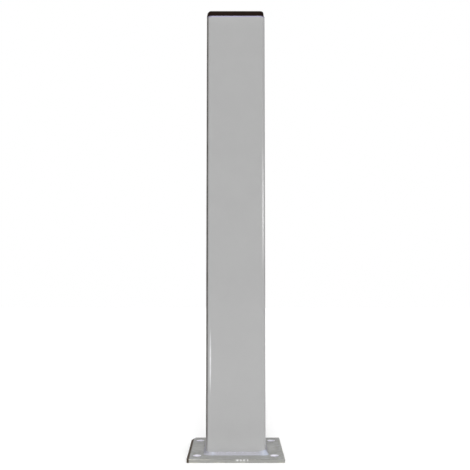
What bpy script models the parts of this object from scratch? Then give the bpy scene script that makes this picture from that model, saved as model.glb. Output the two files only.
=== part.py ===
"""Steel post with a welded base plate and a push-in plastic end cap.

The origin is on the underside of the plate, at its middle. +Z runs up the post and -Y is the front.
"""

import math

import bmesh
import bpy

# Square hollow section
POST_WIDTH = 0.100
POST_WALL = 0.003
POST_CORNER_RADIUS = 0.007
POST_LENGTH = 0.744

# Base plate: its reach beyond the post leaves room for the bolt heads
HOLE_FROM_POST = 0.014
HOLE_FROM_SIDE_EDGE = 0.016
HOLE_FROM_FRONT_EDGE = 0.025
PLATE_FRONT_REACH = 0.030
PLATE_THICKNESS = 0.006
PLATE_CORNER_RADIUS = 0.002
PLATE_EDGE_BREAK = 0.0005
HOLE_DIAMETER = 0.011

# The back left corner of the plate is cut off at a slant
CLIP_ALONG_BACK = 0.0065
CLIP_ALONG_SIDE = 0.020

# Fillet weld round the foot, with a fatter lump where the run ends, at the front right corner
WELD_REACH = 0.0025
WELD_RISE = 0.0045
WELD_CROWN = 0.0005
WELD_LUMP_RISE = 0.007
WELD_LUMP_SPREAD = 0.007

# End cap
CAP_RIM_INSET = 0.0005
CAP_RIM_HEIGHT = 0.0097
CAP_RIM_ROUND = 0.003
CAP_TOP_THICKNESS = 0.003
CAP_SKIRT_DEPTH = 0.022
CAP_SKIRT_WALL = 0.002
CAP_SKIRT_CLEARANCE = 0.0025
CAP_FIN_COUNT = 3
CAP_FIN_THICKNESS = 0.0014

# Space left between pieces that touch
JOINT_GAP = 0.0003

# Fineness of the meshes
CORNER_STEPS = 8
HOLE_SIDES = 32
WELD_PROFILE_STEPS = 5
WELD_POINT_SPACING = 0.008
ROUND_STEPS = 3
MERGE_DISTANCE = 0.00001
SMALLEST_RADIUS = 0.0005
CUT_MARGIN = 0.002
SHARP_ANGLE = math.radians(35)
EDGE_BREAK_ANGLE = math.radians(60)

PLATE_WIDTH = POST_WIDTH + 2 * (HOLE_FROM_POST + HOLE_FROM_SIDE_EDGE)
PLATE_DEPTH = POST_WIDTH + 2 * PLATE_FRONT_REACH
HOLE_X = PLATE_WIDTH / 2 - HOLE_FROM_SIDE_EDGE
HOLE_Y = PLATE_DEPTH / 2 - HOLE_FROM_FRONT_EDGE
BORE_WIDTH = POST_WIDTH - 2 * POST_WALL
BORE_RADIUS = max(POST_CORNER_RADIUS - POST_WALL, SMALLEST_RADIUS)
POST_BOTTOM = PLATE_THICKNESS + JOINT_GAP
POST_TOP = POST_BOTTOM + POST_LENGTH
RIM_BOTTOM = POST_TOP + JOINT_GAP
RIM_TOP = RIM_BOTTOM + CAP_RIM_HEIGHT


def clear_scene():
    for obj in list(bpy.data.objects):
        bpy.data.objects.remove(obj)


def new_collection(name):
    collection = bpy.data.collections.new(name)
    bpy.context.scene.collection.children.link(collection)
    return collection


def new_material(name, color, roughness, metallic):
    material = bpy.data.materials.new(name)
    material.use_nodes = True
    shader = material.node_tree.nodes["Principled BSDF"]
    shader.inputs["Base Color"].default_value = (*color, 1.0)
    shader.inputs["Roughness"].default_value = roughness
    shader.inputs["Metallic"].default_value = metallic
    return material


def arc(center, radius, start, end, steps=CORNER_STEPS):
    """Points on an arc, from the start angle to the end angle in degrees."""
    points = []
    for step in range(steps + 1):
        angle = math.radians(start + (end - start) * step / steps)
        points.append((center[0] + radius * math.cos(angle), center[1] + radius * math.sin(angle)))
    return points


def rounded_square(width, radius):
    """Outline of a square with rounded corners, anticlockwise from its right side."""
    inner = width / 2 - radius
    outline = []
    for quarter, (sign_x, sign_y) in enumerate(((1, 1), (-1, 1), (-1, -1), (1, -1))):
        start = 90 * quarter
        outline += arc((sign_x * inner, sign_y * inner), radius, start, start + 90)
    return outline


def plate_outline():
    """Outline of the base plate, with three eased corners and the slanted cut at the back left."""
    half_x = PLATE_WIDTH / 2
    half_y = PLATE_DEPTH / 2
    inner_x = half_x - PLATE_CORNER_RADIUS
    inner_y = half_y - PLATE_CORNER_RADIUS
    outline = arc((inner_x, inner_y), PLATE_CORNER_RADIUS, 0, 90)
    outline += [(-half_x + CLIP_ALONG_BACK, half_y), (-half_x, half_y - CLIP_ALONG_SIDE)]
    outline += arc((-inner_x, -inner_y), PLATE_CORNER_RADIUS, 180, 270)
    outline += arc((inner_x, -inner_y), PLATE_CORNER_RADIUS, 270, 360)
    return outline


def flat_curve(name, outlines):
    """A 2D curve object with one closed spline for each outline."""
    curve = bpy.data.curves.new(name, "CURVE")
    curve.dimensions = "2D"
    for outline in outlines:
        spline = curve.splines.new("POLY")
        spline.points.add(len(outline) - 1)
        for point, (x, y) in zip(spline.points, outline):
            point.co = (x, y, 0, 1)
        spline.use_cyclic_u = True
    return bpy.data.objects.new(name, curve)


def curve_to_mesh(obj, collection):
    """Replaces a curve object with a mesh object of the same name whose caps are welded on."""
    bpy.context.scene.collection.objects.link(obj)
    bpy.context.view_layer.update()
    graph = bpy.context.evaluated_depsgraph_get()
    mesh = bpy.data.meshes.new_from_object(obj.evaluated_get(graph))
    body = bmesh.new()
    body.from_mesh(mesh)
    bmesh.ops.remove_doubles(body, verts=body.verts, dist=MERGE_DISTANCE)
    bmesh.ops.recalc_face_normals(body, faces=body.faces)
    body.to_mesh(mesh)
    body.free()
    name = obj.name
    place = obj.matrix_world.copy()
    bpy.data.objects.remove(obj)
    solid = bpy.data.objects.new(name, mesh)
    solid.matrix_world = place
    collection.objects.link(solid)
    mesh.shade_smooth()
    mesh.set_sharp_from_angle(angle=SHARP_ANGLE)
    return solid


def prism(name, outlines, bottom, top, collection):
    """A solid with a flat outline, and holes where more outlines lie inside it, from bottom to top."""
    obj = flat_curve(name, outlines)
    obj.data.fill_mode = "BOTH"
    obj.data.extrude = (top - bottom) / 2
    obj.location.z = (top + bottom) / 2
    return curve_to_mesh(obj, collection)


def add_boolean(obj, other, operation):
    modifier = obj.modifiers.new(operation.lower() + "_" + other.name, "BOOLEAN")
    modifier.operation = operation
    modifier.object = other
    modifier.solver = "EXACT"


def hide_helper(obj):
    obj.hide_render = True
    obj.display_type = "WIRE"


def make_base_plate(parts, helpers, material):
    plate = prism("base_plate", [plate_outline()], 0, PLATE_THICKNESS, parts)
    depth = PLATE_THICKNESS + 2 * CUT_MARGIN
    for side_x in (-1, 1):
        for side_y in (-1, 1):
            place = (side_x * HOLE_X, side_y * HOLE_Y, PLATE_THICKNESS / 2)
            bpy.ops.mesh.primitive_cylinder_add(
                vertices=HOLE_SIDES, radius=HOLE_DIAMETER / 2, depth=depth, location=place
            )
            drill = bpy.context.object
            drill.name = "drill"
            for collection in list(drill.users_collection):
                collection.objects.unlink(drill)
            helpers.objects.link(drill)
            hide_helper(drill)
            add_boolean(plate, drill, "DIFFERENCE")
    edge_break = plate.modifiers.new("edge_break", "BEVEL")
    edge_break.width = PLATE_EDGE_BREAK
    edge_break.segments = 1
    edge_break.limit_method = "ANGLE"
    edge_break.angle_limit = EDGE_BREAK_ANGLE
    plate.data.materials.append(material)
    return plate


def make_square_post(parts, material):
    outside = rounded_square(POST_WIDTH, POST_CORNER_RADIUS)
    inside = rounded_square(BORE_WIDTH, BORE_RADIUS)
    post = prism("square_post", [outside, inside], POST_BOTTOM, POST_TOP, parts)
    post.data.materials.append(material)
    return post


def weld_path():
    """Points round the foot of the post with the size of the bead at each, as a share of its usual size."""
    half_width = POST_WIDTH / 2 + JOINT_GAP
    radius = POST_CORNER_RADIUS + JOINT_GAP
    outline = rounded_square(2 * half_width, radius)
    path = []
    for index, start in enumerate(outline):
        end = outline[(index + 1) % len(outline)]
        run = math.dist(start, end)
        pieces = max(1, round(run / WELD_POINT_SPACING))
        for piece in range(pieces):
            along = piece / pieces
            path.append((start[0] + (end[0] - start[0]) * along, start[1] + (end[1] - start[1]) * along))
    corner = half_width - radius + radius * math.cos(math.pi / 4)
    lump = (corner, -corner)
    sized = []
    for point in path:
        bump = math.exp(-((math.dist(point, lump) / WELD_LUMP_SPREAD) ** 2))
        sized.append((point, 1 + (WELD_LUMP_RISE / WELD_RISE - 1) * bump))
    return sized


def weld_profile():
    """Section of the bead: a right angle at the root and a face that swells by the crown.

    The section's -X points away from the post, because the bead's path runs anticlockwise.
    """
    face = []
    for step in range(WELD_PROFILE_STEPS + 1):
        share = step / WELD_PROFILE_STEPS
        swell = WELD_CROWN * math.sin(math.pi * share) / math.sqrt(2)
        face.append((-WELD_REACH * (1 - share) - swell, WELD_RISE * share + swell))
    return [(0, 0)] + face


def make_foot_weld(parts, helpers, material):
    sized = weld_path()
    bead = flat_curve("foot_weld", [[point for point, _ in sized]])
    for point, (_, size) in zip(bead.data.splines[0].points, sized):
        point.radius = size
    profile = flat_curve("weld_profile", [weld_profile()])
    helpers.objects.link(profile)
    hide_helper(profile)
    bead.data.bevel_mode = "OBJECT"
    bead.data.bevel_object = profile
    bead.location.z = PLATE_THICKNESS + JOINT_GAP
    bead = curve_to_mesh(bead, parts)
    bead.data.materials.append(material)
    return bead


def make_end_cap(parts, helpers, material):
    rim_width = POST_WIDTH - 2 * CAP_RIM_INSET
    rim_radius = max(POST_CORNER_RADIUS - CAP_RIM_INSET, SMALLEST_RADIUS)
    cap = prism("end_cap", [rounded_square(rim_width, rim_radius)], RIM_BOTTOM, RIM_TOP, parts)
    half_height = CAP_RIM_HEIGHT / 2
    body = bmesh.new()
    body.from_mesh(cap.data)
    weight = body.edges.layers.float.new("bevel_weight_edge")
    for edge in body.edges:
        if all(vert.co.z > half_height - MERGE_DISTANCE for vert in edge.verts):
            edge[weight] = 1.0
    body.to_mesh(cap.data)
    body.free()
    rounding = cap.modifiers.new("rim_round", "BEVEL")
    rounding.limit_method = "WEIGHT"
    rounding.width = CAP_RIM_ROUND
    rounding.segments = ROUND_STEPS

    skirt_width = BORE_WIDTH - 2 * CAP_SKIRT_CLEARANCE
    skirt_radius = max(BORE_RADIUS - CAP_SKIRT_CLEARANCE, SMALLEST_RADIUS)
    skirt_bottom = RIM_BOTTOM - CAP_SKIRT_DEPTH
    inside_top = RIM_TOP - CAP_TOP_THICKNESS
    skirt_top = (RIM_BOTTOM + inside_top) / 2
    skirt = prism("cap_skirt", [rounded_square(skirt_width, skirt_radius)], skirt_bottom, skirt_top, helpers)
    hide_helper(skirt)
    add_boolean(cap, skirt, "UNION")

    fin_width = BORE_WIDTH - 2 * JOINT_GAP
    fin_radius = max(BORE_RADIUS - JOINT_GAP, SMALLEST_RADIUS)
    for number in range(CAP_FIN_COUNT):
        middle = RIM_BOTTOM - CAP_SKIRT_DEPTH * (number + 1) / (CAP_FIN_COUNT + 1)
        bottom = middle - CAP_FIN_THICKNESS / 2
        top = middle + CAP_FIN_THICKNESS / 2
        fin = prism("cap_fin", [rounded_square(fin_width, fin_radius)], bottom, top, helpers)
        hide_helper(fin)
        add_boolean(cap, fin, "UNION")

    hollow_width = skirt_width - 2 * CAP_SKIRT_WALL
    hollow_radius = max(skirt_radius - CAP_SKIRT_WALL, SMALLEST_RADIUS)
    hollow_outline = rounded_square(hollow_width, hollow_radius)
    hollow = prism("cap_hollow", [hollow_outline], skirt_bottom - CUT_MARGIN, inside_top, helpers)
    hide_helper(hollow)
    add_boolean(cap, hollow, "DIFFERENCE")
    cap.data.materials.append(material)
    return cap


def main():
    clear_scene()
    parts = new_collection("post_with_base_plate")
    helpers = new_collection("helpers")
    post_paint = new_material("post_paint", (0.46, 0.46, 0.46), 0.35, 0.0)
    plate_paint = new_material("plate_paint", (0.33, 0.33, 0.32), 0.45, 0.0)
    weld_paint = new_material("weld_paint", (0.50, 0.50, 0.52), 0.40, 0.0)
    cap_plastic = new_material("cap_plastic", (0.012, 0.011, 0.010), 0.45, 0.0)

    foot = bpy.data.objects.new("post_with_base_plate", None)
    parts.objects.link(foot)
    pieces = [
        make_base_plate(parts, helpers, plate_paint),
        make_square_post(parts, post_paint),
        make_foot_weld(parts, helpers, weld_paint),
        make_end_cap(parts, helpers, cap_plastic),
    ]
    for piece in pieces:
        piece.parent = foot


main()
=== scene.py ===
import math

import bmesh
import bpy
import numpy as np
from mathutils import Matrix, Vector
from mathutils.geometry import delaunay_2d_cdt


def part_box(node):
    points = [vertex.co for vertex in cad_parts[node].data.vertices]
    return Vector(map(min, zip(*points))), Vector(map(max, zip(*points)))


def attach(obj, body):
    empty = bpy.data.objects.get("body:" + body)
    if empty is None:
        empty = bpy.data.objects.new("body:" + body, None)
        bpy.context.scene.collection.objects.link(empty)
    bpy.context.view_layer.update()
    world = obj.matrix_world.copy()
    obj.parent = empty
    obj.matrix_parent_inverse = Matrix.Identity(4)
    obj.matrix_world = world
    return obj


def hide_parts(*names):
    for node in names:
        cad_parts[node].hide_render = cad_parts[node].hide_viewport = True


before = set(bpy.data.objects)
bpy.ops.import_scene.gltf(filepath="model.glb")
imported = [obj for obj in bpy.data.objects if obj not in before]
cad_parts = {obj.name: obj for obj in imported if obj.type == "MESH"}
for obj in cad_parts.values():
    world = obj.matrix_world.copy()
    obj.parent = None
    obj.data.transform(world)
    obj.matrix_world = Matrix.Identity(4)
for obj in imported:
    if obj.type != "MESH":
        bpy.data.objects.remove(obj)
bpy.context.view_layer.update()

mm = 0.001
postLow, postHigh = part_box("square_post")
plateLow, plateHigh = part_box("base_plate")
capLow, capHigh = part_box("end_cap")
postHalf = postHigh.x
print("frame loaded:", ", ".join(sorted(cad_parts)))


# Camera at the photograph's viewing angle: in front of the post, below its middle, tilted slightly up
cameraView = {
    "place": (-1.25 * mm, -1255.6 * mm, 297.2 * mm),
    "tiltUp": math.radians(3.53),
    "lens": 54.69,
}


def addCamera(view):
    lens = bpy.data.cameras.new("photoCamera")
    lens.lens = view["lens"]
    lens.clip_start = 0.01
    lens.clip_end = 100
    camera = bpy.data.objects.new("photoCamera", lens)
    camera.location = view["place"]
    camera.rotation_euler = (math.pi / 2 + view["tiltUp"], 0, 0)
    bpy.context.scene.collection.objects.link(camera)
    bpy.context.scene.camera = camera


addCamera(cameraView)
print("camera placed")


# An sRGB hex colour as the linear values that a shader takes
def linear(hexColour):
    parts = [int(hexColour[place:place + 2], 16) / 255 for place in (1, 3, 5)]
    straight = [part / 12.92 if part <= 0.04045 else ((part + 0.055) / 1.055) ** 2.4 for part in parts]
    return (*straight, 1)


# Adds one node: sets its properties, gives each input a value or links it to another node's output, and
# returns the output that is asked for
def addNode(tree, kind, settings=None, inputs=None, output=0):
    node = tree.nodes.new(kind)
    for name, setting in (settings or {}).items():
        setattr(node, name, setting)
    for socket, value in (inputs or {}).items():
        if isinstance(value, bpy.types.NodeSocket):
            tree.links.new(value, node.inputs[socket])
        else:
            node.inputs[socket].default_value = value
    return node.outputs[output] if len(node.outputs) else node


# Smooth wander, mostly between -1 and 1: the sum of sine waves that run in seeded directions, with
# wavelengths of 0.7 to 1.6 times the given size, scaled down by their number
def wander(points, size, seed, waves=9):
    draw = np.random.default_rng(seed)
    directions = draw.normal(size=(waves, points.shape[-1]))
    directions /= np.linalg.norm(directions, axis=1)[:, None]
    lengths = size * draw.uniform(0.7, 1.6, waves)
    phases = draw.uniform(0, 2 * math.pi, waves)
    sines = np.sin(points @ (directions * 2 * math.pi / lengths[:, None]).T + phases)
    return sines.sum(axis=-1) / math.sqrt(waves / 2) / 1.6


# A walk round a square with rounded corners, anticlockwise seen from above: at each step, the side
# (1 or -1, or between them on a straight run) of the corner centre, and the way the corner radius points
def squareWalk(cornerSteps, sideSteps):
    cornerX = np.array([[1], [-1], [-1], [1]])
    cornerY = np.array([[1], [1], [-1], [-1]])
    arcs = np.arange(4)[:, None] * math.pi / 2 + np.linspace(0, math.pi / 2, cornerSteps + 1)
    share = np.arange(1, sideSteps) / sideSteps
    runX = cornerX + (np.roll(cornerX, -1, axis=0) - cornerX) * share
    runY = cornerY + (np.roll(cornerY, -1, axis=0) - cornerY) * share
    signX = np.hstack([np.repeat(cornerX, cornerSteps + 1, axis=1), runX]).ravel()
    signY = np.hstack([np.repeat(cornerY, cornerSteps + 1, axis=1), runY]).ravel()
    angle = np.hstack([arcs, np.repeat(arcs[:, -1:], sideSteps - 1, axis=1)]).ravel()
    return {"x": signX, "y": signY, "cos": np.cos(angle), "sin": np.sin(angle)}


# Carries a profile round the walk: each row of the profile is (half width, corner radius, height), and a
# point is its corner centre plus the radius along the walk's direction, at that height
def carryRoundSquare(profile, walk):
    half, radius, height = (profile[:, column:column + 1] for column in range(3))
    x = walk["x"] * (half - radius) + radius * walk["cos"]
    y = walk["y"] * (half - radius) + radius * walk["sin"]
    return np.stack([x, y, np.broadcast_to(height, x.shape)], axis=2)


# Quads between neighbouring rows of a grid whose columns wrap round, and whose rows may too
def gridFaces(rows, columns, closeRows=False, start=0):
    row = np.arange(rows if closeRows else rows - 1)[:, None]
    column = np.arange(columns)[None, :]
    nextRow = (row + 1) % rows
    nextColumn = (column + 1) % columns
    corners = [row * columns + column, row * columns + nextColumn]
    corners += [nextRow * columns + nextColumn, nextRow * columns + column]
    return (np.stack(np.broadcast_arrays(*corners), axis=2).reshape(-1, 4) + start).tolist()


# Triangles from one ring of points to a point at its middle
def fanFaces(ringStart, columns, middle, flip=False):
    here = ringStart + np.arange(columns)
    there = ringStart + (np.arange(columns) + 1) % columns
    order = [there, here] if flip else [here, there]
    return np.stack(order + [np.full(columns, middle)], axis=1).tolist()


# Makes a piece from its points and faces, with its attributes, its material slots and smooth shading
def newPiece(name, points, faces, materials, sharpAngle=40, values=None, slots=None):
    mesh = bpy.data.meshes.new(name)
    mesh.from_pydata(points.reshape(-1, 3).tolist(), [], faces)
    for valueName, value in (values or {}).items():
        layer = mesh.attributes.new(valueName, "FLOAT", "POINT")
        layer.data.foreach_set("value", np.ascontiguousarray(value, dtype=np.float32).ravel())
    for material in materials:
        mesh.materials.append(material)
    if slots is not None:
        mesh.polygons.foreach_set("material_index", slots)
    mesh.shade_smooth()
    mesh.set_sharp_from_angle(angle=math.radians(sharpAngle))
    mesh.validate()
    mesh.update()
    piece = bpy.data.objects.new(name, mesh)
    bpy.context.scene.collection.objects.link(piece)
    return piece


# A quarter turn of a rounded edge as (share of the radius across, share of the radius up)
def quarterRound(steps):
    turn = np.linspace(0, math.pi / 2, steps + 1)
    return np.cos(turn), np.sin(turn)


def newMaterial(name):
    material = bpy.data.materials.new(name)
    material.use_nodes = True
    return material, material.node_tree, material.node_tree.nodes["Principled BSDF"]


smooth = {"interpolation_type": "SMOOTHSTEP"}
product = {"operation": "MULTIPLY"}
colourMix = {"data_type": "RGBA"}
asPoint = {"vector_type": "POINT"}


# How much of a patchy coat shows: cloudy noise of the coat's size, carried from its low and high marks to
# its least and most share
def patchyShare(tree, place, coat):
    if "stretch" in coat:
        place = addNode(tree, "ShaderNodeMapping", asPoint, {"Vector": place, "Scale": coat["stretch"]})
    cloud = addNode(tree, "ShaderNodeTexNoise", None, {
        "Vector": place, "Scale": 1 / coat["size"], "Detail": coat.get("detail", 3), "Roughness": 0.6})
    low, high = coat["marks"]
    least, most = coat.get("share", (0, 1))
    return addNode(tree, "ShaderNodeMapRange", smooth, {
        "Value": cloud, "From Min": low, "From Max": high, "To Min": least, "To Max": most})


# How much of a spot shows: all of it round its middle, and none past its reach along each axis, where a
# reach of 0 sets no limit
def spotShare(tree, place, spot):
    scale = [1 / reach if reach else 0 for reach in spot["reach"]]
    shift = [-middle * size for middle, size in zip(spot["middle"], scale)]
    fromMiddle = addNode(tree, "ShaderNodeMapping", asPoint, {
        "Vector": place, "Scale": scale, "Location": shift})
    away = addNode(tree, "ShaderNodeVectorMath", {"operation": "LENGTH"}, {0: fromMiddle}, "Value")
    return addNode(tree, "ShaderNodeMapRange", smooth, {
        "Value": away, "From Min": 1.0, "From Max": spot["core"]})


# Lays a patchy coat over the colour below, within a mask where one is given
def layCoat(tree, place, under, coat, mask=None):
    share = patchyShare(tree, place, coat)
    if mask is not None:
        share = addNode(tree, "ShaderNodeMath", product, {0: share, 1: mask})
    return addNode(tree, "ShaderNodeMix", colourMix, {
        "Factor": share, "A": under, "B": linear(coat["colour"])}, "Result")


# The fine relief of a finish, as a bump from noise of its grain size
def fineRelief(tree, place, relief):
    grain = addNode(tree, "ShaderNodeTexNoise", None, {
        "Vector": place, "Scale": 1 / relief["size"], "Detail": 2.5})
    return addNode(tree, "ShaderNodeBump", None, {
        "Height": grain, "Distance": relief["depth"], "Strength": relief["strength"]})


enamelSettings = {
    "base": "#9f9f9f",
    "clouds": {"colour": "#a1a1a1", "size": 70 * mm, "marks": (0.3, 0.7)},
    # a cooler, slightly darker band just under the cap
    "coolBandUnderCap": {"colour": "#9894b4", "size": 9 * mm, "marks": (0.3, 0.6), "share": (0.8, 1)},
    "coolBandUnderCapSpan": (2.7 * mm, 1.2 * mm),
    # painted shade: a dark band down the post's left front corner, darker low down
    "paintedLeftCornerShade": {"colour": "#332b25", "size": 6 * mm, "stretch": (1, 1, 0.25), "marks": (0.35, 0.65),
              "share": (0.82, 1)},
    "paintedShadeAcross": (-45.9 * mm, -47.9 * mm),
    "paintedShadeFront": (-33 * mm, -46 * mm),
    "paintedShadeUp": (700 * mm, 60 * mm),
    # painted highlight: a pale streak beside the left corner that stands for a glint
    "paintedGlint": {"colour": "#d2d2d4", "size": 3 * mm, "stretch": (1, 1, 0.2), "marks": (0.3, 0.6),
            "share": (0.6, 1)},
    "paintedGlintSpot": {"middle": (-42.5 * mm, -50 * mm, 160 * mm), "reach": (1.7 * mm, 6 * mm, 62 * mm),
                "core": 0.35},
    # painted shade just under the cap's left and right front corners
    "paintedShadeUnderCap": {"colour": "#3d3640", "size": 3 * mm, "marks": (0.3, 0.6), "share": (0.6, 0.95)},
    "paintedShadeUnderCapSpots": [
        {"middle": (-47.5 * mm, -50 * mm, postHigh.z), "reach": (9 * mm, 9 * mm, 3.4 * mm), "core": 0.2},
        {"middle": (48 * mm, -50 * mm, postHigh.z), "reach": (7 * mm, 9 * mm, 2.4 * mm), "core": 0.2},
    ],
    # painted light: a paler coat over the post's last 60 mm above the foot, which makes up for the shade
    # that the plate and weld cast there
    "paintedFootLight": {"colour": "#c4c4c5", "size": 14 * mm, "marks": (0.3, 0.7), "share": (0.9, 1)},
    "paintedFootLightUp": (60 * mm, 6 * mm),
    "paintedFootLightFall": 3.3,
    "orangePeel": {"size": 2.2 * mm, "depth": 0.02 * mm, "strength": 0.25},
    "roughness": 0.19,
}


# Sprayed gloss enamel on cold-formed steel: an even light grey with a faint orange peel in its gloss, a
# cooler, slightly darker band just under the cap, painted shade under the cap's front corners and down the
# left corner, where it thickens low down, a painted highlight beside it, and painted light that fades above
# the foot
def sprayedGreyEnamel(settings):
    material, tree, shader = newMaterial("sprayedGreyEnamel")
    place = addNode(tree, "ShaderNodeTexCoord", output="Object")
    x, y, z = (addNode(tree, "ShaderNodeSeparateXYZ", None, {"Vector": place}, axis) for axis in "XYZ")
    coat = layCoat(tree, place, linear(settings["base"]), settings["clouds"])
    start, full = settings["coolBandUnderCapSpan"]
    topEdge = addNode(tree, "ShaderNodeMapRange", smooth, {
        "Value": z, "From Min": postHigh.z - start, "From Max": postHigh.z - full})
    coat = layCoat(tree, place, coat, settings["coolBandUnderCap"], topEdge)
    # painted shade down the left front corner
    start, full = settings["paintedShadeAcross"]
    leftCorner = addNode(tree, "ShaderNodeMapRange", smooth, {
        "Value": x, "From Min": start, "From Max": full})
    start, full = settings["paintedShadeFront"]
    frontOnly = addNode(tree, "ShaderNodeMapRange", smooth, {
        "Value": y, "From Min": start, "From Max": full})
    start, full = settings["paintedShadeUp"]
    lowDown = addNode(tree, "ShaderNodeMapRange", smooth, {
        "Value": z, "From Min": start, "From Max": full, "To Min": 0.85})
    corner = addNode(tree, "ShaderNodeMath", product, {0: leftCorner, 1: frontOnly})
    corner = addNode(tree, "ShaderNodeMath", product, {0: corner, 1: lowDown})
    coat = layCoat(tree, place, coat, settings["paintedLeftCornerShade"], corner)
    # painted highlight beside the left corner
    coat = layCoat(tree, place, coat, settings["paintedGlint"], spotShare(tree, place, settings["paintedGlintSpot"]))
    # painted light over the foot, fading upwards
    start, full = settings["paintedFootLightUp"]
    footward = addNode(tree, "ShaderNodeMapRange", None, {
        "Value": z, "From Min": start, "From Max": full})
    paintedFootLightShare = addNode(tree, "ShaderNodeMath", {"operation": "POWER"}, {
        0: footward, 1: settings["paintedFootLightFall"]})
    coat = layCoat(tree, place, coat, settings["paintedFootLight"], paintedFootLightShare)
    # painted shade under the cap's corners
    for spot in settings["paintedShadeUnderCapSpots"]:
        coat = layCoat(tree, place, coat, settings["paintedShadeUnderCap"], spotShare(tree, place, spot))
    tree.links.new(coat, shader.inputs["Base Color"])
    tree.links.new(fineRelief(tree, place, settings["orangePeel"]), shader.inputs["Normal"])
    shader.inputs["Roughness"].default_value = settings["roughness"]
    return material


# Attributes that say how rubbed, chipped or sheared the plate is at each point, and how much painted shade
# lies there on the near side of a hole's rim
plateShares = ("arris", "chip", "sheared", "paintedRimShade")


platePaintSettings = {
    "base": "#8a8a87",
    "coats": [
        {"colour": "#9c9d9c", "size": 9 * mm, "detail": 4, "marks": (0.38, 0.62)},
        {"colour": "#8b8c7e", "size": 6 * mm, "marks": (0.5, 0.66), "share": (0, 0.7)},
        {"colour": "#a3a1a7", "size": 5 * mm, "marks": (0.52, 0.66), "share": (0, 0.8)},
    ],
    # painted light: paler patches on the plate beside the post, where the post keeps light off it
    "paintedLightBesidePost": {"colour": "#aaaaa8", "size": 7 * mm, "marks": (0.35, 0.6), "share": (0.3, 0.9)},
    "paintedLightBesidePostSpots": [
        {"middle": (-62 * mm, 2 * mm, 0), "reach": (20 * mm, 48 * mm, 0), "core": 0.2},
        {"middle": (60 * mm, 2 * mm, 0), "reach": (14 * mm, 44 * mm, 0), "core": 0.2},
    ],
    # painted shade: a darker strip on the plate in front of the post
    "paintedShadeFrontStrip": {"colour": "#8e8e8b", "size": 7 * mm, "marks": (0.35, 0.6), "share": (0.4, 0.9)},
    "paintedShadeFrontStripSpot": {"middle": (0, -66 * mm, 6 * mm), "reach": (82 * mm, 17 * mm, 4 * mm), "core": 0.5},
    # painted shade on the near side of each hole's rim
    "paintedRimShade": {"colour": "#37322f", "size": 3 * mm, "marks": (0.3, 0.6), "share": (0.6, 1)},
    "sheared": {"colour": "#8f8f8b", "size": 4 * mm, "marks": (0.3, 0.6), "share": (0.6, 1)},
    # painted shade along the front arris
    "paintedShadeFrontArris": {"colour": "#70706d", "size": 5 * mm, "marks": (0.35, 0.6), "share": (0.6, 1)},
    "paintedShadeFrontArrisSpot": {"middle": (18 * mm, -79.9 * mm, 5.8 * mm), "reach": (76 * mm, 2.4 * mm, 1.6 * mm),
                 "core": 0.4},
    # painted shade: a dark line on the plate beside the post's left foot
    "paintedContactShade": {"colour": "#574547", "size": 4 * mm, "marks": (0.4, 0.6), "share": (0.25, 0.8)},
    "paintedContactShadeSpot": {"middle": (-53.3 * mm, 20 * mm, 0), "reach": (3.2 * mm, 18 * mm, 0), "core": 0.3},
    "rubbed": {"colour": "#c8c6ba", "size": 6 * mm, "stretch": (1, 1, 4), "marks": (0.35, 0.55),
               "share": (0.5, 1)},
    # painted shade: a dark band down the plate's left edge
    "paintedLeftEdgeShade": {"colour": "#3a2c1c", "size": 9 * mm, "marks": (0.25, 0.5), "share": (0.8, 1)},
    "paintedLeftEdgeShadeBand": (5.2 * mm, 3.0 * mm),
    "bareSteel": {"colour": "#e8e8ea", "size": 1.5 * mm, "marks": (0.2, 0.5), "share": (0.8, 1)},
    "millScale": {"size": 1.5 * mm, "depth": 0.06 * mm, "strength": 0.5},
    "roughness": 0.5,
}


# Thin grey paint over hot-rolled plate: mottled where the mill scale telegraphs through, in patches drawn
# two to three times as coarse as real ones so that they show, thinner on the sheared edges, rubbed pale in
# places, with chips of bare steel; painted light beside the post, and painted shade in front of it, along
# the front arris, down the left edge, beside the foot and on the near side of each hole's rim
def thinPaintOnHotRolledPlate(settings):
    material, tree, shader = newMaterial("thinPaintOnHotRolledPlate")
    place = addNode(tree, "ShaderNodeTexCoord", output="Object")
    x = addNode(tree, "ShaderNodeSeparateXYZ", None, {"Vector": place}, "X")
    arris, chip, sheared, paintedRimShade = (
        addNode(tree, "ShaderNodeAttribute", {"attribute_name": name}, None, "Fac") for name in plateShares)
    paint = linear(settings["base"])
    for coat in settings["coats"]:
        paint = layCoat(tree, place, paint, coat)
    # painted light beside the post
    for spot in settings["paintedLightBesidePostSpots"]:
        paint = layCoat(tree, place, paint, settings["paintedLightBesidePost"], spotShare(tree, place, spot))
    # painted shade in front of the post
    paintedShadeFrontStrip = spotShare(tree, place, settings["paintedShadeFrontStripSpot"])
    paint = layCoat(tree, place, paint, settings["paintedShadeFrontStrip"], paintedShadeFrontStrip)
    paint = layCoat(tree, place, paint, settings["sheared"], sheared)
    # painted shade along the front arris
    paint = layCoat(tree, place, paint, settings["paintedShadeFrontArris"], spotShare(tree, place, settings["paintedShadeFrontArrisSpot"]))
    # painted shade beside the post's left foot
    paint = layCoat(tree, place, paint, settings["paintedContactShade"], spotShare(tree, place, settings["paintedContactShadeSpot"]))
    paint = layCoat(tree, place, paint, settings["rubbed"], arris)
    # painted shade down the plate's left edge
    start, full = settings["paintedLeftEdgeShadeBand"]
    paintedLeftEdgeShade = addNode(tree, "ShaderNodeMapRange", smooth, {
        "Value": x, "From Min": plateLow.x + start, "From Max": plateLow.x + full})
    paint = layCoat(tree, place, paint, settings["paintedLeftEdgeShade"], paintedLeftEdgeShade)
    paint = layCoat(tree, place, paint, settings["bareSteel"], chip)
    paint = layCoat(tree, place, paint, settings["paintedRimShade"], paintedRimShade)
    tree.links.new(paint, shader.inputs["Base Color"])
    tree.links.new(fineRelief(tree, place, settings["millScale"]), shader.inputs["Normal"])
    shader.inputs["Roughness"].default_value = settings["roughness"]
    return material


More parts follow.
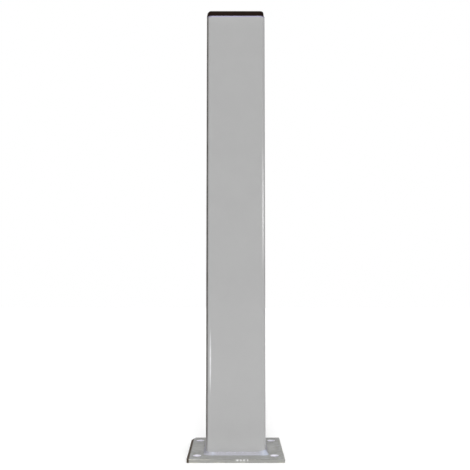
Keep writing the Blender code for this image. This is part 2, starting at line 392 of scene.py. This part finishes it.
borePaintSettings = {
    "base": "#cbc9d4",
    "drag": {"colour": "#d8d7df", "size": 1.2 * mm, "stretch": (1, 1, 0.15), "marks": (0.3, 0.7)},
    "roughness": 0.4,
}


# Bore walls of a punched hole with a bright zinc primer that the grey coat missed: pale and slightly
# lilac, with faint drag marks up and down, drawn a few times as wide as real ones
def zincPrimerInBore(settings):
    material, tree, shader = newMaterial("zincPrimerInBore")
    place = addNode(tree, "ShaderNodeTexCoord", output="Object")
    tone = layCoat(tree, place, linear(settings["base"]), settings["drag"])
    tree.links.new(tone, shader.inputs["Base Color"])
    shader.inputs["Roughness"].default_value = settings["roughness"]
    return material


weldPaintSettings = {
    "base": "#88888d",
    "pooled": {"colour": "#9595a0", "size": 5 * mm, "marks": (0.35, 0.65)},
    "thick": {"colour": "#acb2c0", "size": 3 * mm, "marks": (0.3, 0.6), "share": (0.8, 1)},
    # painted light along the weld's toe on the plate, which makes up for the shade there
    "paintedToeLight": {"colour": "#a2a2ab", "size": 4 * mm, "marks": (0.3, 0.7), "share": (0.8, 1)},
    "paintedToeLightUp": (9.5 * mm, 7 * mm),
    "pits": {"size": 0.9 * mm, "depth": 0.04 * mm, "strength": 0.4},
    "roughness": 0.34,
}


# Enamel over a fillet weld bead: the same grey, lighter and cooler where it pooled in the ripples, painted
# light along the toe on the plate, and thickest on the lump where the run ends
def enamelOverWeldBead(settings):
    material, tree, shader = newMaterial("enamelOverWeldBead")
    place = addNode(tree, "ShaderNodeTexCoord", output="Object")
    lump = addNode(tree, "ShaderNodeAttribute", {"attribute_name": "lump"}, None, "Fac")
    z = addNode(tree, "ShaderNodeSeparateXYZ", None, {"Vector": place}, "Z")
    # painted light along the toe
    start, full = settings["paintedToeLightUp"]
    paintedToeLight = addNode(tree, "ShaderNodeMapRange", smooth, {"Value": z, "From Min": start, "From Max": full})
    tone = layCoat(tree, place, linear(settings["base"]), settings["pooled"])
    tone = layCoat(tree, place, tone, settings["paintedToeLight"], paintedToeLight)
    tone = layCoat(tree, place, tone, settings["thick"], lump)
    tree.links.new(tone, shader.inputs["Base Color"])
    tree.links.new(fineRelief(tree, place, settings["pits"]), shader.inputs["Normal"])
    shader.inputs["Roughness"].default_value = settings["roughness"]
    return material


capPlasticSettings = {
    "base": "#170902",
    "scuffs": {"colour": "#1d0e05", "size": 11 * mm, "detail": 4, "marks": (0.4, 0.7)},
    "moulding": {"size": 0.8 * mm, "depth": 0.03 * mm, "strength": 0.35},
    "roughness": 0.42,
    "specular": 0.05,
}


# Black polyethylene, injection moulded with a fine spark-eroded grain, drawn a few times as coarse as the
# real one: deep brown-black with a dull sheen
def mouldedBlackPolyethylene(settings):
    material, tree, shader = newMaterial("mouldedBlackPolyethylene")
    place = addNode(tree, "ShaderNodeTexCoord", output="Object")
    tone = layCoat(tree, place, linear(settings["base"]), settings["scuffs"])
    tree.links.new(tone, shader.inputs["Base Color"])
    tree.links.new(fineRelief(tree, place, settings["moulding"]), shader.inputs["Normal"])
    shader.inputs["Roughness"].default_value = settings["roughness"]
    shader.inputs["Specular IOR Level"].default_value = settings["specular"]
    return material


# Square tube: 3 mm wall with rounded corners, walls drawn in slightly between the corners as
# cold-formed section is, and deburred arrises at the cut ends
tubeSettings = {
    "wall": 3 * mm,
    "cornerCentre": 43 * mm,
    "endArris": 0.45 * mm,
    "endSteps": 4,
    "drawIn": 0.15 * mm,
    "waviness": 0.02 * mm,
    "wavinessSize": 90 * mm,
    "wavinessInward": 1.2,    # about as high as the wave goes, so that it draws the face in
    "levels": 36,
    "cornerSteps": 16,
    "sideSteps": 20,
}


# Profile up the outside, over the top end, down the bore and back under the bottom end, as
# (half width, corner radius, height), carried round the square walk; between its corners each wall is
# drawn in by a smooth hump, and the outside by a slow wave as well
def tubeSurface(settings, walk):
    low, high = postLow.z, postHigh.z
    arris = settings["endArris"]
    centre = settings["cornerCentre"]
    bore = postHalf - settings["wall"]
    across, up = quarterRound(settings["endSteps"])
    heights = np.linspace(low + arris, high - arris, settings["levels"])
    half = np.concatenate([
        np.full(len(heights), postHalf), postHalf - arris + arris * across[1:],
        bore + arris - arris * across[::-1][:-1], np.full(len(heights), bore),
        bore + arris - arris * across[1:], postHalf - arris + arris * across[::-1][:-1],
    ])
    height = np.concatenate([
        heights, high - arris + arris * up[1:], high - arris + arris * up[::-1][:-1], heights[::-1],
        low + arris - arris * up[1:], low + arris - arris * up[::-1][:-1],
    ])
    points = carryRoundSquare(np.stack([half, half - centre, height], axis=1), walk)
    along = np.minimum(np.abs(walk["x"]), np.abs(walk["y"]))
    drawn = settings["drawIn"] * (1 - along ** 2) ** 2
    wave = wander(points, settings["wavinessSize"], 11) - settings["wavinessInward"]
    wave = wave * settings["waviness"] * (1 - along ** 8)
    shift = np.where(np.abs(half - postHalf)[:, None] < settings["wall"] / 2, wave - drawn, -drawn)
    points[:, :, 0] += shift * walk["cos"]
    points[:, :, 1] += shift * walk["sin"]
    return points


def makeTube(settings, material):
    walk = squareWalk(settings["cornerSteps"], settings["sideSteps"])
    points = tubeSurface(settings, walk)
    rows, columns = points.shape[:2]
    tube = newPiece("steelTube", points, gridFaces(rows, columns, closeRows=True), [material])
    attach(tube, "root")
    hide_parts("square_post")


makeTube(tubeSettings, sprayedGreyEnamel(enamelSettings))
print("tube made")


# Base plate: sheared from 6 mm plate, with its back left corner cut off and four punched holes
plateSettings = {
    "cornerRadius": 2 * mm,
    "cutRadius": 0.8 * mm,
    "cutAlongBack": 6.5 * mm,
    "cutAlongSide": 20 * mm,
    "holeX": 64 * mm,
    "holeY": 55 * mm,
    "holeRadius": 5.5 * mm,
    "holeSteps": 48,
    "spacing": 1.2 * mm,
    "frontDepth": 1 * mm,    # what of the outline counts as its front edge
    "fillSpacing": 4 * mm,
    "fillMargin": 1.4 * mm,
    "cutMargin": 2.2 * mm,
    # shares of the fill's spacing that its points keep away from the holes and from the outline
    "holeClear": 0.6,
    "outlineClear": 0.5,
    # (distance out, height) in mm from the top face over the arris and down the sheared face
    "edgeRows": ((-1.4, 6.0), (-0.75, 5.98), (-0.35, 5.88), (-0.1, 5.65), (0, 5.3), (0, 4.2),
                 (-0.03, 3.2), (-0.12, 2.2), (-0.14, 1.3), (-0.1, 0.7), (-0.16, 0.3), (-0.4, 0.05),
                 (-1.2, 0)),
    "edgeWear": (0.1, 0.6, 1, 1, 0.55, 0.15, 0.1, 0.1, 0.15, 0.4, 0.9, 0.9, 0.4),
    "edgeSheared": (0, 0, 0.2, 0.5, 1, 1, 1, 1, 1, 1, 0.8, 0.6, 0),
    # (height, depth) in mm: rougher towards the bottom, where the metal tore
    "edgeRoughness": ((0, 0), (0.05, 0.09), (3, 0.05), (5.6, 0.02), (6, 0)),
    "roughSize": 3.5 * mm,
    "roughInward": 1.1,
    # (place, half length) in mm along the front edge
    "chips": ((2.6, 1.9), (8.2, 1.3), (13.5, 1.6), (19.5, 0.9)),
    "chipRows": (0, 0.1, 0.5, 0.9, 1, 1, 0.5, 0.1, 0, 0, 0, 0, 0),
    "chipDepth": 0.3 * mm,
    "chipDropFrom": 4 * mm,    # above this height a chip also lowers the metal
    "chipSize": 1.5 * mm,
    "chipVary": (0.8, 0.5),    # mean share and how far it wanders
    # (place in mm, share rubbed) along the upper and the lower arris of the front edge
    "rubbedAbove": ((-80, 0.8), (-68, 0.8), (-60, 0), (-55, 0.5), (-47, 0.4), (-38, 0), (-6, 0.05),
                    (1, 0.25), (18, 0.2), (42, 0.15), (50, 0), (80, 0)),
    "rubbedBelow": ((-80, 1), (-64, 0.9), (-57, 0.1), (-38, 0.1), (-33, 0.8), (-22, 0.7), (-15, 0),
                    (6, 0.2), (8, 0.9), (14, 0.6), (17, 0), (45, 0), (48, 0.6), (52, 0), (66, 0.2),
                    (71, 0.9), (80, 0.9)),
    "rubbedSize": 30 * mm,
    "rubbedVary": (0.4, 0.6),
    # (distance out, height) in mm from the rolled-over rim down the bore
    "holeRows": ((3.4, 6.0), (2.3, 5.98), (1.6, 5.9), (0.95, 5.64), (0.45, 5.2), (0.13, 4.6), (0, 3.9),
                 (0, 2.9), (0, 1.6), (0.05, 0.5), (0.2, 0.12), (0.6, 0)),
    # painted shade on the near side of the rim, row by row
    "paintedRimShadeRows": (0, 1, 1, 0.2, 0, 0, 0, 0, 0, 0, 0, 0),
    "rimWornTo": 1.5,    # mm out from the bore
    "boreFrom": 2,    # the first row of faces with primer instead of paint
    "boreRows": 8,
}


# Walk round a polygon with rounded corners, anticlockwise: arcs at the corners, evenly divided straight
# runs between them, and at each step the way that faces out
def roundedWalk(corners, radii, spacing, arcSteps=8):
    corners = np.array(corners, dtype=float)
    ahead = np.roll(corners, -1, axis=0) - corners
    ahead /= np.linalg.norm(ahead, axis=1)[:, None]
    behind = np.roll(ahead, 1, axis=0)
    startAngle = np.arctan2(-behind[:, 0], behind[:, 1])
    across = behind[:, 0] * ahead[:, 1] - behind[:, 1] * ahead[:, 0]
    turn = np.arctan2(across, (behind * ahead).sum(axis=1))
    reach = radii * np.tan(turn / 2)
    startNormal = np.stack([np.cos(startAngle), np.sin(startAngle)], axis=1)
    centres = corners - behind * reach[:, None] - startNormal * radii[:, None]
    points, normals = [], []
    for corner in range(len(corners)):
        angles = startAngle[corner] + np.linspace(0, turn[corner], arcSteps + 1)
        arcNormals = np.stack([np.cos(angles), np.sin(angles)], axis=1)
        arcPoints = centres[corner] + radii[corner] * arcNormals
        after = (corner + 1) % len(corners)
        runEnd = centres[after] + radii[after] * startNormal[after]
        run = np.linalg.norm(runEnd - arcPoints[-1])
        steps = max(1, round(run / spacing))
        share = (np.arange(1, steps) / steps)[:, None]
        points += [arcPoints, arcPoints[-1] + (runEnd - arcPoints[-1]) * share]
        normals += [arcNormals, np.repeat(arcNormals[-1:], steps - 1, axis=0)]
    return np.concatenate(points), np.concatenate(normals)


# Carries edge rows of (distance out, height) round a walk of points and outward ways
def carryEdge(rows, points, normals):
    out = rows[:, 0][:, None, None]
    flat = points[None] + normals[None] * out
    height = np.broadcast_to(rows[:, 1][:, None, None], flat.shape[:2] + (1,))
    return np.concatenate([flat, height], axis=2)


# Triangles over a flat area: the given rings, and an even grid of points inside that keeps about half its
# spacing away from them, joined by a Delaunay triangulation whose triangles inside a hole are dropped
def fillFlat(outer, holes, centres, holeReach, settings):
    step = settings["fillSpacing"]
    ticks = np.arange(-math.floor(plateHigh.x / step) * step, plateHigh.x, step)
    grid = np.stack(np.meshgrid(ticks, ticks), axis=2).reshape(-1, 2)
    clear = holeReach + step * settings["holeClear"]
    away = np.linalg.norm(grid[:, None] - centres[None], axis=2).min(axis=1) > clear
    alongSide, alongBack = settings["cutAlongSide"], settings["cutAlongBack"]
    pastCut = (-grid[:, 0] - plateHigh.x) * alongSide + (grid[:, 1] - plateHigh.y) * alongBack
    margin = settings["fillMargin"] + step * settings["outlineClear"]
    inside = np.abs(grid).max(axis=1) < plateHigh.x - margin
    inside &= pastCut < -alongSide * (alongBack + settings["cutMargin"])
    grid = grid[away & inside]
    rings = [outer] + list(holes)
    edges, start = [], 0
    for ring in rings:
        here = np.arange(len(ring))
        edges += np.stack([here + start, (here + 1) % len(ring) + start], axis=1).tolist()
        start += len(ring)
    points = np.concatenate(rings + [grid])
    joinWithin = 1e-7    # metres
    solved = delaunay_2d_cdt([Vector(point) for point in points.tolist()], edges, [], 0, joinWithin)
    filled = np.array([tuple(point) for point in solved[0]])
    faces = np.array([tuple(face) for face in solved[2]])
    middle = filled[faces].mean(axis=1)
    keep = np.linalg.norm(middle[:, None] - centres[None], axis=2).min(axis=1) > holeReach * 0.999
    return filled, faces[keep]


# The plate's rounded outline with its cut corner
def plateOutline(settings):
    halfX, halfY = plateHigh.x, plateHigh.y
    corners = [(halfX, -halfY), (halfX, halfY), (-halfX + settings["cutAlongBack"], halfY),
               (-halfX, halfY - settings["cutAlongSide"]), (-halfX, -halfY)]
    full, cut = settings["cornerRadius"], settings["cutRadius"]
    return roundedWalk(corners, np.array([full, full, cut, cut, full]), settings["spacing"])


# The edge rows carried round the outline: pushed in by a wander that is deepest where the metal tore, and
# by chips, which are bell curves along the front edge; and how worn each point is
def plateEdge(settings):
    path, normals = plateOutline(settings)
    rows = np.array(settings["edgeRows"]) * mm
    edge = carryEdge(rows, path, normals)
    heights, depths = np.array(settings["edgeRoughness"]).T * mm
    rough = np.interp(rows[:, 1], heights, depths)
    bump = np.minimum(wander(edge, settings["roughSize"], 21) - settings["roughInward"], 0)
    edge[:, :, :2] += normals[None] * (bump * rough[:, None])[:, :, None]
    chip = np.zeros(edge.shape[:2])
    front = path[:, 1] < settings["frontDepth"] - plateHigh.y
    for place, reach in settings["chips"]:
        near = np.exp(-((path[:, 0] - place * mm) / (reach * mm)) ** 2) * front
        chip += near[None] * np.array(settings["chipRows"])[:, None]
    mean, spread = settings["chipVary"]
    chip = np.clip(chip * (mean + spread * wander(edge, settings["chipSize"], 22)), 0, 1)
    edge[:, :, :2] -= normals[None] * chip[:, :, None] * settings["chipDepth"]
    edge[:, :, 2] -= np.where(edge[:, :, 2] > settings["chipDropFrom"], chip * settings["chipDepth"], 0)
    # the arrises are rubbed at set places along the front, and in wandering patches along the other sides
    above, below = (np.interp(path[:, 0] / mm, *zip(*settings[name]))
                    for name in ("rubbedAbove", "rubbedBelow"))
    mean, spread = settings["rubbedVary"]
    elsewhere = np.clip(mean + spread * wander(path, settings["rubbedSize"], 23), 0, 1)
    rubbed = np.where((rows[:, 1] > plateHigh.z / 2)[:, None], above, below)
    rubbed = np.where(front, rubbed, elsewhere)
    arris = rubbed * np.array(settings["edgeWear"])[:, None]
    return edge, {"arris": arris, "chip": chip, "sheared": np.repeat(settings["edgeSheared"], len(path))}


# Adds points to the plate's parts, with the shares of wear and of painted shade that they have, and none of
# the others
def addPart(parts, points, shares):
    points = points.reshape(-1, 3)
    parts["points"].append(points)
    for name in plateShares:
        parts[name].append(np.ravel(shares.get(name, np.zeros(len(points)))))


# The edge band, a band down each hole, and the flat top and bottom between them
def plateSurface(settings):
    parts = {name: [] for name in ("points",) + plateShares}
    edge, wear = plateEdge(settings)
    addPart(parts, edge, wear)
    faces = [face[::-1] for face in gridFaces(*edge.shape[:2])]
    slots = [0] * len(faces)
    start = edge.shape[0] * edge.shape[1]
    centres = np.array([(x, y) for x in (-settings["holeX"], settings["holeX"])
                        for y in (-settings["holeY"], settings["holeY"])])
    turn = np.arange(settings["holeSteps"]) * 2 * math.pi / settings["holeSteps"]
    spokes = np.stack([np.cos(turn), np.sin(turn)], axis=1)
    holeRows = np.array(settings["holeRows"]) * mm
    rimWear = np.repeat(np.clip(settings["rimWornTo"] - holeRows[:, 0] / mm, 0, 1), len(turn))
    # painted shade on the near side of each rim, towards the front
    nearSidePaintedShade = np.array(settings["paintedRimShadeRows"])[:, None] * np.clip(-spokes[:, 1], 0, 1)
    boreFrom, boreTo = settings["boreFrom"], settings["boreFrom"] + settings["boreRows"]
    holeTops, holeBottoms = [], []
    for centre in centres:
        ring = carryEdge(holeRows, centre + spokes * settings["holeRadius"], spokes)
        addPart(parts, ring, {"arris": rimWear, "paintedRimShade": nearSidePaintedShade})
        ringFaces = gridFaces(len(holeRows), len(turn), start=start)
        faces += ringFaces
        rowOf = np.arange(len(ringFaces)) // len(turn)
        slots += np.where((rowOf >= boreFrom) & (rowOf < boreTo), 1, 0).tolist()
        start += len(ring) * len(turn)
        holeTops.append(ring[0, :, :2])
        holeBottoms.append(ring[-1, :, :2])
    for row, rings, height, flip in ((0, holeTops, plateHigh.z, False), (-1, holeBottoms, 0.0, True)):
        reach = settings["holeRadius"] + holeRows[row, 0]
        filled, flatFaces = fillFlat(edge[row, :, :2], rings, centres, reach, settings)
        addPart(parts, np.column_stack([filled, np.full(len(filled), height)]), {})
        ordered = flatFaces[:, ::-1] if flip else flatFaces
        faces += (ordered + start).tolist()
        slots += [0] * len(flatFaces)
        start += len(filled)
    joined = {name: np.concatenate(part) for name, part in parts.items()}
    return joined.pop("points"), faces, slots, joined


# Joins the bands and the flats where their rings meet
def mergeSeams(piece, distance=0.004 * mm):
    body = bmesh.new()
    body.from_mesh(piece.data)
    bmesh.ops.remove_doubles(body, verts=body.verts, dist=distance)
    body.to_mesh(piece.data)
    body.free()


def makePlate(settings, paint, bore):
    points, faces, slots, values = plateSurface(settings)
    plate = newPiece("steelPlate", points, faces, [paint, bore], values=values, slots=slots)
    mergeSeams(plate)
    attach(plate, "root")
    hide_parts("base_plate")


platePaint = thinPaintOnHotRolledPlate(platePaintSettings)
makePlate(plateSettings, platePaint, zincPrimerInBore(borePaintSettings))
print("plate made")


# Fillet weld round the foot: a bead with small ripples, a wandering width and a fat lump where the
# run ends, at the front right corner
weldSettings = {
    "reach": 4 * mm,
    "rise": 5 * mm,
    "crown": -0.25 * mm,
    "lumpSize": 1.5,
    "lumpSpread": 7 * mm,
    "startPlace": (-38 * mm, -51 * mm),
    "startSpread": 3.2 * mm,
    "startThick": 0.6,
    "widthVary": 0.06,
    "widthVarySize": 14 * mm,
    "ripplePitch": 2.2 * mm,
    "rippleDepth": 0.12 * mm,
    "rippleBow": 0.9,
    "rippleStray": 1.3,
    "rippleStraySize": 9 * mm,
    "sink": 0.3 * mm,
    "faceRows": 14,
    "postRadius": 7 * mm,
    "cornerSteps": 18,
    "sideSteps": 130,
}


# Section from the toe on the plate to the toe on the post, a straight line pushed in or out by the crown
# and by ripples that bow along the bead, then back through the metal behind it; carried round the foot,
# with its size swelling as a bell curve at the lump; and how thick the paint lies at each step round it
def weldSurface(settings, walk):
    radius = settings["postRadius"]
    base = carryRoundSquare(np.array([[postHalf, radius, 0]]), walk)[0, :, :2]
    steps = np.linalg.norm(np.roll(base, -1, axis=0) - base, axis=1)
    length = steps.sum()
    along = np.concatenate([[0], np.cumsum(steps)[:-1]])
    turn = 2 * math.pi * along / length
    loop = np.stack([np.cos(turn), np.sin(turn)], axis=1) * length / (2 * math.pi)
    cornerAt = (postHalf - radius) + radius * math.sqrt(0.5)
    lump = np.exp(-(np.linalg.norm(base - [cornerAt, -cornerAt], axis=1) / settings["lumpSpread"]) ** 2)
    size = 1 + settings["widthVary"] * wander(loop, settings["widthVarySize"], 31)
    size += (settings["lumpSize"] - 1) * lump
    share = np.linspace(0, 1, settings["faceRows"])[:, None]
    bow = np.sin(math.pi * share)
    stray = settings["rippleStray"] * wander(loop, settings["rippleStraySize"], 32)[None]
    turns = along[None] / settings["ripplePitch"] + settings["rippleBow"] * bow
    ripple = np.cos(2 * math.pi * turns + stray)
    swell = (settings["crown"] + settings["rippleDepth"] * ripple) * bow / math.sqrt(2)
    out = settings["reach"] * size[None] * (1 - share) + swell
    up = settings["rise"] * size[None] * share + swell
    sink = settings["sink"]
    sunk = np.full((1, len(along)), -sink)
    out = np.vstack([out, sunk, sunk, out[:1]])
    up = np.vstack([up, up[-1:], sunk, sunk])
    ways = np.stack([walk["cos"], walk["sin"]], axis=1)
    flat = base[None] + ways[None] * out[:, :, None]
    fromStart = np.linalg.norm(base - settings["startPlace"], axis=1)
    start = settings["startThick"] * np.exp(-(fromStart / settings["startSpread"]) ** 2)
    return np.concatenate([flat, (plateHigh.z + up)[:, :, None]], axis=2), np.maximum(lump, start)


def makeWeld(settings, material):
    walk = squareWalk(settings["cornerSteps"], settings["sideSteps"])
    points, lump = weldSurface(settings, walk)
    rows, columns = points.shape[:2]
    faces = gridFaces(rows, columns, closeRows=True)
    weld = newPiece("filletWeld", points, faces, [material], sharpAngle=60,
                    values={"lump": np.tile(lump, rows)})
    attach(weld, "root")
    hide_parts("foot_weld")


makeWeld(weldSettings, enamelOverWeldBead(weldPaintSettings))
print("weld made")


# End cap: a flat rim with a rounded top edge, over a hollow skirt with three fins
capSettings = {
    "rimHalf": 49.3 * mm,
    "rimDraft": 0.6 * mm,
    "rimShift": -0.6 * mm,
    "rimRadius": 6.5 * mm,
    "rimFoot": ((0, 0.8), (0, 0.4), (0.1, 0.1), (0.4, 0)),    # (inset, height) in mm
    "seatGap": 0.3 * mm,
    "edgeRound": 3 * mm,
    "edgeSteps": 8,
    "wornPoint": (-49.8 * mm, -45 * mm, -4.9 * mm),
    "wornWay": (-0.7, -0.07, 0.8),
    "wornSoftness": 0.4 * mm,
    "topThickness": 3 * mm,
    "skirtHalf": 44.5 * mm,
    "skirtRadius": 1.5 * mm,
    "finHalf": 46.7 * mm,
    "finRadius": 3.7 * mm,
    "finThickness": 1.4 * mm,
    "finTaper": 0.7,    # thickness at the fin's edge as a share of that at its root
    "finCount": 3,
    "hollowHalf": 42.5 * mm,
    "hollowRadius": 0.6 * mm,
    "ceilingShares": (1, 0.6, 0.2),
    "dome": 0.35 * mm,
    "domeShares": (0.1, 0.3, 0.5, 0.7, 0.85, 0.95),
    "gateRadius": 1.3 * mm,
    "gateDepth": 0.25 * mm,
    "gateRows": ((0.6, 1), (0.85, 0.6), (1, 0)),    # (share of the radius, share of the depth)
    "cornerSteps": 14,
    "sideSteps": 12,
}


# Profile from the middle of the top, which has the gate's small dimple and falls away by the fourth power
# towards the edge, over the rounded edge and down the rim, in under it, down the skirt over its fins, and
# up the hollow to the middle of its ceiling
def capProfile(settings):
    top = capHigh.z
    rimBottom = postHigh.z + settings["seatGap"]
    skirtBottom = capLow.z
    foot, radius, soft = settings["rimHalf"], settings["rimRadius"], settings["edgeRound"]
    half = foot - settings["rimDraft"]
    gate, depth = settings["gateRadius"], settings["gateDepth"]
    rows = [(gate * out, gate * out, top - depth * down) for out, down in settings["gateRows"]]
    for share in settings["domeShares"]:
        inner = (half - soft) * share
        rows.append((inner, min(inner, radius), top - settings["dome"] * share ** 4))
    edgeTop = top - settings["dome"]
    across, up = quarterRound(settings["edgeSteps"])
    for a, u in zip(across[::-1], up[::-1]):
        rows.append((half - soft + soft * a, radius - soft + soft * a, edgeTop - soft + soft * u))
    for inset, height in settings["rimFoot"]:
        rows.append((foot - inset * mm, radius - inset * mm, rimBottom + height * mm))
    skirt, skirtRadius = settings["skirtHalf"], settings["skirtRadius"]
    fin, finRadius = settings["finHalf"], settings["finRadius"]
    thick, taper = settings["finThickness"] / 2, settings["finTaper"]
    rows.append((skirt, skirtRadius, rimBottom))
    for number in range(settings["finCount"]):
        middle = rimBottom - (rimBottom - skirtBottom) * (number + 1) / (settings["finCount"] + 1)
        rows += [(skirt, skirtRadius, middle + thick), (fin, finRadius, middle + thick * taper),
                 (fin, finRadius, middle - thick * taper), (skirt, skirtRadius, middle - thick)]
    hollow, hollowRadius = settings["hollowHalf"], settings["hollowRadius"]
    rows += [(skirt, skirtRadius, skirtBottom), (hollow, hollowRadius, skirtBottom)]
    for share in settings["ceilingShares"]:
        rows.append((hollow * share, hollowRadius * share, top - settings["topThickness"]))
    return np.array(rows)


# Pushes what stands proud of a slanted plane at the front left back onto it: the push is half the sum of
# the distance past the plane and its softened size, which makes a soft fold
def wearCorner(points, settings):
    way = np.array(settings["wornWay"]) / np.linalg.norm(settings["wornWay"])
    proud = (points - np.array(settings["wornPoint"]) - [0, 0, capHigh.z]) @ way
    soft = settings["wornSoftness"]
    push = (proud + np.sqrt(proud ** 2 + soft ** 2)) / 2
    push *= points[:, :, 2] > postHigh.z
    return points - push[:, :, None] * way


def makeCap(settings, material):
    walk = squareWalk(settings["cornerSteps"], settings["sideSteps"])
    points = carryRoundSquare(capProfile(settings), walk)
    points[:, :, 0] += settings["rimShift"] * (points[:, :, 2] > postHigh.z)
    points = wearCorner(points, settings)
    rows, columns = points.shape[:2]
    middles = np.array([[settings["rimShift"], 0, capHigh.z - settings["gateDepth"]],
                        [0, 0, capHigh.z - settings["topThickness"]]])
    count = rows * columns
    faces = [face[::-1] for face in gridFaces(rows, columns)]
    faces += fanFaces(0, columns, count)
    faces += fanFaces((rows - 1) * columns, columns, count + 1, flip=True)
    allPoints = np.concatenate([points.reshape(-1, 3), middles])
    cap = newPiece("plasticCap", allPoints, faces, [material])
    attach(cap, "root")
    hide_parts("end_cap")


makeCap(capSettings, mouldedBlackPolyethylene(capPlasticSettings))
print("cap made")


# Pale floor and soft studio light
studioSettings = {
    "floorHalf": 6.0,
    "floorColour": "#fdfdfd",
    "floorRoughness": 0.9,
    "floorSpecular": 0.1,
    "backdropLight": 1.0,
    "baseLight": 0.35,
    "leastLight": 0.02,
    "lightWay": (0.05, -0.25, 0.75),
    "keyPlace": (0, -3, 3),
    "keyTilt": 40,
    "keyStrength": 1.36,
    "keyWidth": 25,
}

# A box on the right, which reaches the gloss alone and shows as a glint down the post's rounded corner
glintBoxSettings = {
    "place": (1.02, -0.66, 0.535),
    "aim": (0.046, -0.048, 0.42),
    "width": 0.95,
    "height": 0.27,
    "radiance": 8,
}


def addFloor(settings):
    half = settings["floorHalf"]
    corners = np.array([[-half, -half, 0], [half, -half, 0], [half, half, 0], [-half, half, 0]])
    material, tree, shader = newMaterial("paleFloor")
    shader.inputs["Base Color"].default_value = linear(settings["floorColour"])
    shader.inputs["Roughness"].default_value = settings["floorRoughness"]
    shader.inputs["Specular IOR Level"].default_value = settings["floorSpecular"]
    floor = newPiece("studioFloor", corners, [[0, 1, 2, 3]], [material])


# The room's light: white behind the object for the camera, and for the surfaces a smooth gradient that
# is brightest from above, and a little brighter from the front
def lightRoom(settings):
    world = bpy.data.worlds.new("studio")
    world.use_nodes = True
    tree = world.node_tree
    tree.nodes.clear()
    white = (1, 1, 1, 1)
    way = addNode(tree, "ShaderNodeTexCoord", output="Generated")
    along = addNode(tree, "ShaderNodeVectorMath", {"operation": "DOT_PRODUCT"}, {
        0: way, 1: settings["lightWay"]}, "Value")
    amount = addNode(tree, "ShaderNodeMath", {"operation": "ADD"}, {0: along, 1: settings["baseLight"]})
    lit = addNode(tree, "ShaderNodeMath", {"operation": "MAXIMUM"}, {
        0: amount, 1: settings["leastLight"]})
    room = addNode(tree, "ShaderNodeBackground", None, {"Color": white, "Strength": lit})
    backdrop = addNode(tree, "ShaderNodeBackground", None, {
        "Color": white, "Strength": settings["backdropLight"]})
    seen = addNode(tree, "ShaderNodeLightPath", output="Is Camera Ray")
    mixed = addNode(tree, "ShaderNodeMixShader", None, {0: seen, 1: room, 2: backdrop})
    addNode(tree, "ShaderNodeOutputWorld", None, {"Surface": mixed})
    bpy.context.scene.world = world
    bpy.context.scene.view_settings.view_transform = "Standard"


# Key light: broad and straight ahead, so that the post shades neither side of its plate
def addKey(settings):
    lamp = bpy.data.lights.new("keyLight", "SUN")
    lamp.energy = settings["keyStrength"]
    lamp.angle = math.radians(settings["keyWidth"])
    light = bpy.data.objects.new("keyLight", lamp)
    light.location = settings["keyPlace"]
    light.rotation_euler = (math.radians(settings["keyTilt"]), 0, 0)
    bpy.context.scene.collection.objects.link(light)


def addGlintBox(box):
    lamp = bpy.data.lights.new("glintBox", "AREA")
    lamp.shape = "RECTANGLE"
    lamp.size = box["width"]
    lamp.size_y = box["height"]
    lamp.energy = box["radiance"] * math.pi * box["width"] * box["height"]
    light = bpy.data.objects.new("glintBox", lamp)
    light.location = box["place"]
    aim = Vector(box["aim"]) - Vector(box["place"])
    light.rotation_euler = aim.to_track_quat("-Z", "Y").to_euler()
    light.visible_camera = False
    light.visible_diffuse = False
    bpy.context.scene.collection.objects.link(light)


addFloor(studioSettings)
lightRoom(studioSettings)
addKey(studioSettings)
addGlintBox(glintBoxSettings)
print("studio lit")
